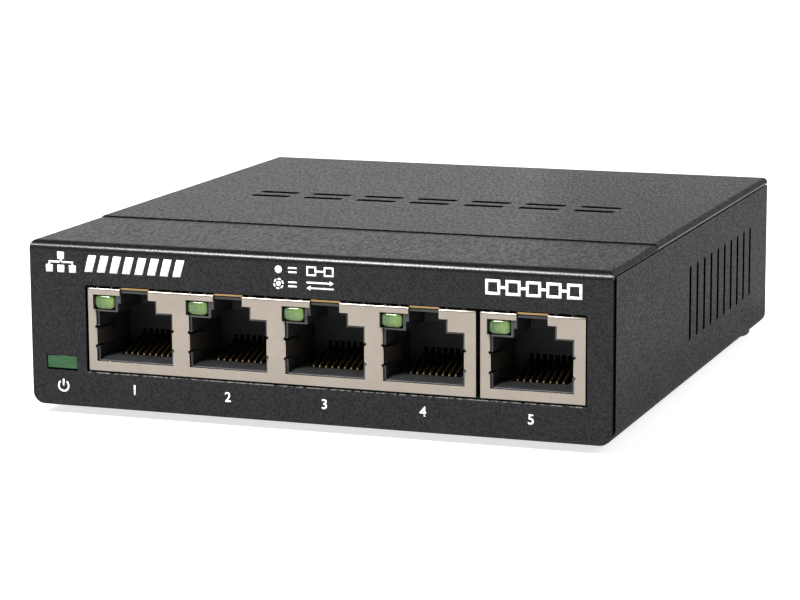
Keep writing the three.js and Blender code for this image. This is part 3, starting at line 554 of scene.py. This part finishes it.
ROUNDED = (  # slot, finish, radius of the edges, nodes
    ("case_paint", COAT, 0.07, ["chassis_tray", "front_panel", "top_cover"]),
    ("shield_nickel", NICKEL, 0.05, ["port_shield_gang", "port_shield_single"]),
    ("port_plastic", PLASTIC, 0.06, ["port_housing_gang", "port_housing_single", "power_socket_body"]),
    ("screw_steel", ZINC, 0.05, ["cover_screw_left", "cover_screw_right"]),
    ("screw_steel", ZINC, 0.05, [f"board_screw_{i}" for i in range(1, 5)]),
    ("foot_rubber", RUBBER, 0.15, [f"foot_{end}_{side}" for end in ("front", "rear")
                                   for side in ("left", "right")]),
    ("guide_green", GUIDE, 0.12, ["power_light_guide"]),
    ("spring_steel", NICKEL, 0.03, ["power_socket_pin"]),
)
for slot, finish, radius, nodes in ROUNDED:
    for node in nodes:
        softened(node, finish, radius)
softened("power_socket_leaf", NICKEL, 0.03, body="socket_leaf")


def add_lamp(port):
    """Lamp lens: a rounded block whose face bulges.

    The outline is a superellipse, |u|^4 + |v|^4 = 1, so it has straight sides and round corners. Rings of it
    shrink towards the middle of the face while the face comes forward as a quarter of a superellipse. The
    attribute "clear" goes from 0 at the left of the face to 1 at the right; the lens material paints light
    with it, paler towards the right.
    """
    low, high = box_mm(f"port_lamp_{port}")
    middle, half = (low + high) / 2, (high - low) / 2
    around = np.linspace(0, 2 * math.pi, 48, endpoint=False)
    cosine, sine = np.cos(around), np.sin(around)
    radius = (np.abs(cosine) ** 4 + np.abs(sine) ** 4) ** -0.25
    bulge = 0.55  # how far the face comes forward
    turn = np.linspace(0, math.pi / 2, 12)
    shrink = np.concatenate([[0.0, 1.0], np.cos(turn) ** 0.55])
    ahead = np.concatenate([[high[1], high[1]], low[1] + bulge * (1 - np.sin(turn) ** 0.8)])
    x = middle[0] + half[0] * shrink[:, None] * (radius * cosine)[None, :]
    z = middle[2] + half[2] * shrink[:, None] * (radius * sine)[None, :]
    y = np.broadcast_to(ahead[:, None], x.shape)
    points = np.stack([x, y, z], axis=-1)
    mesh = mesh_from(f"port_lamp_{port}_lens", points, grid_faces(*x.shape, wrap=True))
    closed(mesh)
    place = np.empty(len(mesh.vertices) * 3, np.float32)
    mesh.vertices.foreach_get("co", place)
    clear = mesh.attributes.new("clear", "FLOAT", "POINT")
    share = (place.reshape(-1, 3)[:, 0] / MM - low[0]) / (high[0] - low[0])
    clear.data.foreach_set("value", np.clip(share * 1.3 - 0.2, 0, 1).astype(np.float32))
    link(f"port_lamp_{port}_lens", mesh, "root", LAMP, [f"port_lamp_{port}"])


def tube(path, across, thick):
    """Points and faces of a flat-sided wire along a path in a plane of constant x.

    At each point of the path a ring lies across it: a superellipse, |u|^3 + |v|^3 = 1, `across` wide along x
    and `thick` high along the path's own normal. The end rings shrink to a point and close the wire.
    """
    sides = 8
    step = np.gradient(path, axis=0)
    step /= np.linalg.norm(step, axis=1, keepdims=True)
    normal = np.stack([np.zeros(len(path)), -step[:, 2], step[:, 1]], axis=-1)
    around = np.linspace(0, 2 * math.pi, sides, endpoint=False) + math.pi / sides
    cosine, sine = np.cos(around), np.sin(around)
    radius = (np.abs(cosine) ** 3 + np.abs(sine) ** 3) ** (-1 / 3)
    size = np.ones(len(path))
    size[0] = size[-1] = 0.0
    size[1] = size[-2] = 0.8
    ring_x = across / 2 * radius * cosine
    ring_n = thick / 2 * radius * sine
    points = path[:, None, :] + size[:, None, None] * normal[:, None, :] * ring_n[None, :, None]
    points[:, :, 0] += size[:, None] * ring_x[None, :]
    return points, grid_faces(len(path), sides, wrap=True)


WIRES = 8
WIRE_PITCH = 1.02
WIRE_ACROSS, WIRE_THICK = 0.46, 0.30


def wire_path(low, high):
    """Middle line of a contact wire: a round bend at the front, then a straight stretch up to the rear.

    The bend is an arc. The straight stretch droops by the sixth power of the way along it, so only its end
    turns down. All lengths come from the box of the plain contact set, whose corners are low and high.
    """
    bend = 0.336  # radius of the bend
    clear = 0.35  # from the floor of the box up to the middle of the bend
    rise = math.atan2(high[2] - low[2] - 2 * clear, high[1] - low[1] - 0.5)
    centre = np.array([low[1] + 0.42, low[2] + clear])
    turn = np.linspace(math.pi * 1.15, math.pi / 2 + rise, 9)
    arc = centre + bend * np.stack([np.cos(turn), np.sin(turn)], axis=-1)
    length = (high[1] - arc[-1, 0]) / math.cos(rise) - 0.15
    along = np.linspace(0.08, 1, 10)[:, None]
    droop = np.array([[0.0, -0.35]]) * along ** 6
    straight = arc[-1] + along * length * np.array([[math.cos(rise), math.sin(rise)]]) + droop
    path = np.concatenate([arc, straight])
    path = np.column_stack([np.zeros(len(path)), path])
    tip = 0.02  # share of a step that the closing points stand past the ends
    before, after = path[0] + (path[0] - path[1]) * tip, path[-1] + (path[-1] - path[-2]) * tip
    return np.concatenate([[before], path, [after]])


def add_contacts(port):
    """Eight separate spring wires side by side, each a copy of one tube shifted along x."""
    points, faces = tube(wire_path(*box_mm(f"contact_springs_{port}")), WIRE_ACROSS, WIRE_THICK)
    shift = (np.arange(WIRES) - (WIRES - 1) / 2) * WIRE_PITCH + PORT_X[port]
    count = points.shape[0] * points.shape[1]
    every = points.reshape(-1, 3)[None] + shift[:, None, None] * np.array([1.0, 0, 0])
    quads = faces[None] + (np.arange(WIRES) * count)[:, None, None]
    mesh = mesh_from(f"contact_springs_{port}_wires", every, quads.reshape(-1, 4))
    closed(mesh)
    link(f"contact_springs_{port}_wires", mesh, f"contacts_{port}", GOLD,
         [f"contact_springs_{port}"])


for port in PORTS:
    add_lamp(port)
    add_contacts(port)

PLAIN = {
    "circuit_board": MASK, "switch_chip": EPOXY, "thermal_pad": PAD, "heat_sink": ALUMINIUM,
    "clock_crystal": ALUMINIUM, "memory_chip": EPOXY, "regulator_1": EPOXY, "regulator_2": EPOXY,
    "inductor_1": EPOXY, "inductor_2": EPOXY, "capacitor_1": ALUMINIUM, "capacitor_2": ALUMINIUM,
    "capacitor_3": ALUMINIUM, "rating_label": FILM, "power_lamp_chip": LAMP,
    **{f"port_transformer_{port}": EPOXY for port in PORTS},
}
for node, material in PLAIN.items():
    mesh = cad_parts[node].data
    mesh.materials.clear()
    mesh.materials.append(material)


# ---- prints ------------------------------------------------------------------------------------------

INK = 0.03  # how far the ink stands off the paint
PORT_NUMBER_HEIGHT = 1.55
PORT_NUMBER_Z = UNDERSIDE + 3.2
BAND_Z = UNDERSIDE + 22.7  # middle of the band above the ports
BAND_HEIGHT = 3.2
POWER_PLACE = (-41.7, UNDERSIDE + 3.1)  # middle of the ring
LEGEND_PLACE = (-5.2, UNDERSIDE + 22.4)  # middle of the legend's dots
SIGN_LEFT = -44.2
STRIPES_X = (-37.6, -20.6)  # left and right ends
SQUARES_X = (27.6, 42.4)


def bar(u0, u1, v0, v1):
    """Rectangle as one face: corners in order round it."""
    return np.array([[u0, v0], [u1, v0], [u1, v1], [u0, v1]]), [(0, 1, 2, 3)]


def ring(u, v, inner, outer, start=0.0, end=2 * math.pi, steps=40):
    """Flat ring or arc: points at two radii, for angles from start to end."""
    angle = np.linspace(start, end, steps)
    circle = np.stack([np.cos(angle), np.sin(angle)], axis=-1)
    points = np.array([u, v]) + np.array([inner, outer])[None, :, None] * circle[:, None, :]
    return points.reshape(-1, 2), grid_faces(steps, 2)


def disc(u, v, radius):
    """Filled circle as one face."""
    steps = 28
    angle = np.linspace(0, 2 * math.pi, steps, endpoint=False)
    points = np.stack([u + radius * np.cos(angle), v + radius * np.sin(angle)], axis=-1)
    return points, [tuple(range(steps))]


def arrow(tail, tip, v, shaft, head):
    """Arrow along u from tail to tip: a shaft as thick as `shaft` and a head `head` high."""
    way = math.copysign(1.0, tip - tail)
    neck = tip - way * head * 0.8
    points = [[tail, v - shaft / 2], [neck, v - shaft / 2], [neck, v - head / 2], [tip, v],
              [neck, v + head / 2], [neck, v + shaft / 2], [tail, v + shaft / 2]]
    order = range(7) if way > 0 else range(6, -1, -1)
    return np.array(points), [tuple(order)]


def frame_of(u0, u1, v0, v1, line):
    """Four bars that form a rectangular outline."""
    return [bar(u0, u1, v0, v0 + line), bar(u0, u1, v1 - line, v1),
            bar(u0, u0 + line, v0 + line, v1 - line), bar(u1 - line, u1, v0 + line, v1 - line)]


def printed(name, shapes):
    """Ink on the front panel: shapes given as X and Z points, laid on the face and made slightly thick."""
    points, faces = [], []
    for flat, quads in shapes:
        start = sum(len(block) for block in points)
        points.append(np.column_stack([flat[:, 0], np.full(len(flat), FRONT), flat[:, 1]]))
        faces += [tuple(start + index for index in face) for face in np.asarray(quads, dtype=object)]
    mesh = mesh_from(name, np.concatenate(points), faces)
    work = bmesh.new()
    work.from_mesh(mesh)
    backwards = [face for face in work.faces if face.normal.y > 0]
    bmesh.ops.reverse_faces(work, faces=backwards)
    work.to_mesh(mesh)
    work.free()
    piece = link(name, mesh, "root", PRINT)
    ink = piece.modifiers.new("ink", "SOLIDIFY")
    ink.thickness = INK * MM
    ink.offset = 1.0


def digit(text, u, v, height):
    """Outline of a digit in Blender's own typeface, filled and centred on a point, as points and faces."""
    curve = bpy.data.curves.new(f"digit_{text}", "FONT")
    curve.body = text
    curve.size = 1.0
    curve.offset = 0.012
    holder = bpy.data.objects.new(f"digit_{text}", curve)
    bpy.context.scene.collection.objects.link(holder)
    filled = holder.evaluated_get(bpy.context.evaluated_depsgraph_get()).to_mesh()
    flat = np.empty(len(filled.vertices) * 3, np.float32)
    filled.vertices.foreach_get("co", flat)
    flat = flat.reshape(-1, 3)[:, :2]
    faces = [tuple(face.vertices) for face in filled.polygons]
    bpy.data.objects.remove(holder)
    low, high = flat.min(0), flat.max(0)
    return (flat - (low + high) / 2) * height / (high[1] - low[1]) + np.array([u, v]), faces


def port_numbers():
    """A number under each port."""
    return [digit(str(port), PORT_X[port], PORT_NUMBER_Z, PORT_NUMBER_HEIGHT) for port in PORTS]


def power_symbol(u, v, radius, line):
    """Standard power symbol: a ring open at the top with an upright bar in the gap."""
    gap = math.radians(38)
    arc = ring(u, v, radius - line, radius, math.pi / 2 + gap, 2.5 * math.pi - gap)
    return [arc, bar(u - line / 2, u + line / 2, v, v + radius * 1.12)]


def network_tree(u0, v, height):
    """One box above three, joined by lines: a plain sign for a network."""
    box_side = height * 0.36
    line = height * 0.09
    low, high = v - height / 2, v + height / 2
    middle = u0 + height * 0.8
    centres = [middle - height * 0.62, middle, middle + height * 0.62]
    shapes = [bar(middle - box_side / 2, middle + box_side / 2, high - box_side, high),
              bar(middle - line / 2, middle + line / 2, low + box_side, high - box_side),
              bar(centres[0] - line / 2, centres[2] + line / 2, v - line / 2, v + line / 2)]
    for centre in centres:
        shapes.append(bar(centre - box_side / 2, centre + box_side / 2, low, low + box_side))
        shapes.append(bar(centre - line / 2, centre + line / 2, low + box_side, v))
    return shapes


def stripes(u0, u1, v, height, count):
    """Equal slanted blocks in a row."""
    pitch = (u1 - u0) / count
    width = pitch * 0.62
    slant = height * 0.28
    shapes = []
    for i in range(count):
        start = u0 + i * pitch
        points = [[start, v - height / 2], [start + width, v - height / 2],
                  [start + width + slant, v + height / 2], [start + slant, v + height / 2]]
        shapes.append((np.array(points), [(0, 1, 2, 3)]))
    return shapes


def linked_squares(u0, u1, v, side, line):
    """Five outlined squares joined by short lines, one for each port."""
    pitch = (u1 - u0 - side) / (len(PORTS) - 1)
    shapes = []
    for i in range(len(PORTS)):
        left = u0 + i * pitch
        shapes += frame_of(left, left + side, v - side / 2, v + side / 2, line)
        if i:
            shapes.append(bar(left - pitch + side, left, v - line / 2, v + line / 2))
    return shapes


def lamp_legend(u, v, line):
    """Two lines: a steady dot beside a joined pair of squares, and a dot with rays beside two arrows.

    Line is the height of a line, and every other measure is a share of it.
    """
    top, low = v + line * 0.62, v - line * 0.62
    dot, thick = line * 0.30, line * 0.15
    shapes = [disc(u, top, dot * 1.1), disc(u, low, dot * 0.75)]
    shapes += [ring(u, low, dot * 1.15, dot * 1.6, start, start + 0.7, 8)
               for start in np.arange(6) * math.pi / 3]
    for level in (top, low):
        shapes += [bar(u + line * 0.9, u + line * 1.7, level + k * thick, level + (k + 1) * thick)
                   for k in (-1.7, 0.7)]
    for left in (line * 2.6, line * 4.2):
        shapes += frame_of(u + left, u + left + line * 0.9, top - line * 0.42, top + line * 0.42, thick)
    shapes.append(bar(u + line * 3.5, u + line * 4.2, top - thick / 2, top + thick / 2))
    shapes.append(arrow(u + line * 2.6, u + line * 5.1, low + line * 0.24, thick, line * 0.46))
    shapes.append(arrow(u + line * 5.1, u + line * 2.6, low - line * 0.24, thick, line * 0.46))
    return shapes


printed("print_port_numbers", port_numbers())
printed("print_power_symbol", power_symbol(*POWER_PLACE, radius=0.98, line=0.27))
printed("print_network_sign", network_tree(SIGN_LEFT, BAND_Z, BAND_HEIGHT))
printed("print_stripes", stripes(*STRIPES_X, BAND_Z, BAND_HEIGHT * 0.82, count=8))
printed("print_five_squares", linked_squares(*SQUARES_X, BAND_Z, side=2.3, line=0.42))
printed("print_lamp_legend", lamp_legend(*LEGEND_PLACE, line=1.75))


# ---- stage -------------------------------------------------------------------------------------------

def add_floor():
    """A pale sweep: flat under the object, rising behind it in one smooth curve."""
    width, near, far, radius, height = 3000.0, -2500.0, 900.0, 500.0, 1600.0
    bend = np.linspace(0, math.pi / 2, 24)
    y = np.concatenate([[near], far + radius * np.sin(bend), [far + radius]])
    z = np.concatenate([[0.0], radius * (1 - np.cos(bend)), [height]])
    x = np.array([-width, width])
    points = np.stack(np.broadcast_arrays(x[None, :], y[:, None], z[:, None]), axis=-1)
    mesh = mesh_from("floor", points, grid_faces(len(y), 2)[:, ::-1])
    floor = bpy.data.objects.new("floor", mesh)
    bpy.context.scene.collection.objects.link(floor)
    finish = Finish("floor_paper", metallic=0.0, roughness=0.9, emission_strength=0.72)
    grain = finish.noise(60.0, 2.0, 0.5)
    finish.set("Base Color", finish.mix(grain, (0.40, 0.40, 0.40), (0.44, 0.44, 0.44)))
    finish.set("Emission Color", (1.0, 1.0, 1.0))
    mesh.materials.append(finish.material)


def add_light(name, place, aim, size, power):
    """A rectangular softbox at place, with its two sides given, that faces the aim."""
    data = bpy.data.lights.new(name, "AREA")
    data.shape = "RECTANGLE"
    data.size, data.size_y = (side * MM for side in size)
    data.energy = power
    back = np.array(place, float) - np.array(aim, float)
    back /= np.linalg.norm(back)
    right = np.cross([0, 0, 1], back)
    right /= np.linalg.norm(right)
    stand(bpy.data.objects.new(name, data), right, np.cross(back, right), back, place)


FILL = 0.45  # strength of the surroundings as a source of light


def add_world():
    """Pale surroundings: white to look at, dimmer as a source of light, so that the boxes show the shape."""
    world = bpy.data.worlds.new("surroundings")
    world.use_nodes = True
    tree = world.node_tree
    seen = tree.nodes["Background"]
    seen.inputs[0].default_value = (1.0, 1.0, 1.0, 1.0)
    seen.inputs[1].default_value = 1.0
    fill = tree.nodes.new("ShaderNodeBackground")
    fill.inputs[0].default_value = (0.95, 0.97, 1.0, 1.0)
    fill.inputs[1].default_value = FILL
    path = tree.nodes.new("ShaderNodeLightPath")
    either = tree.nodes.new("ShaderNodeMixShader")
    tree.links.new(path.outputs["Is Camera Ray"], either.inputs[0])
    tree.links.new(fill.outputs[0], either.inputs[1])
    tree.links.new(seen.outputs[0], either.inputs[2])
    tree.links.new(either.outputs[0], tree.nodes["World Output"].inputs[0])
    bpy.context.scene.world = world


add_floor()
add_world()
add_light("key_box", place=(-256, -498, 578), aim=(0, -50, 20), size=(220, 220), power=14.0)
add_light("rear_card", place=(-480, 860, 190), aim=(0, 0, 20), size=(460, 200), power=0.62)
add_light("low_card", place=(-165, 860, 112), aim=(30, 40, 27), size=(170, 90), power=0.13)
add_light("side_fill", place=(420, 330, 330), aim=(70, 110, 0), size=(200, 200), power=2.4)
bpy.context.scene.view_settings.view_transform = "Standard"
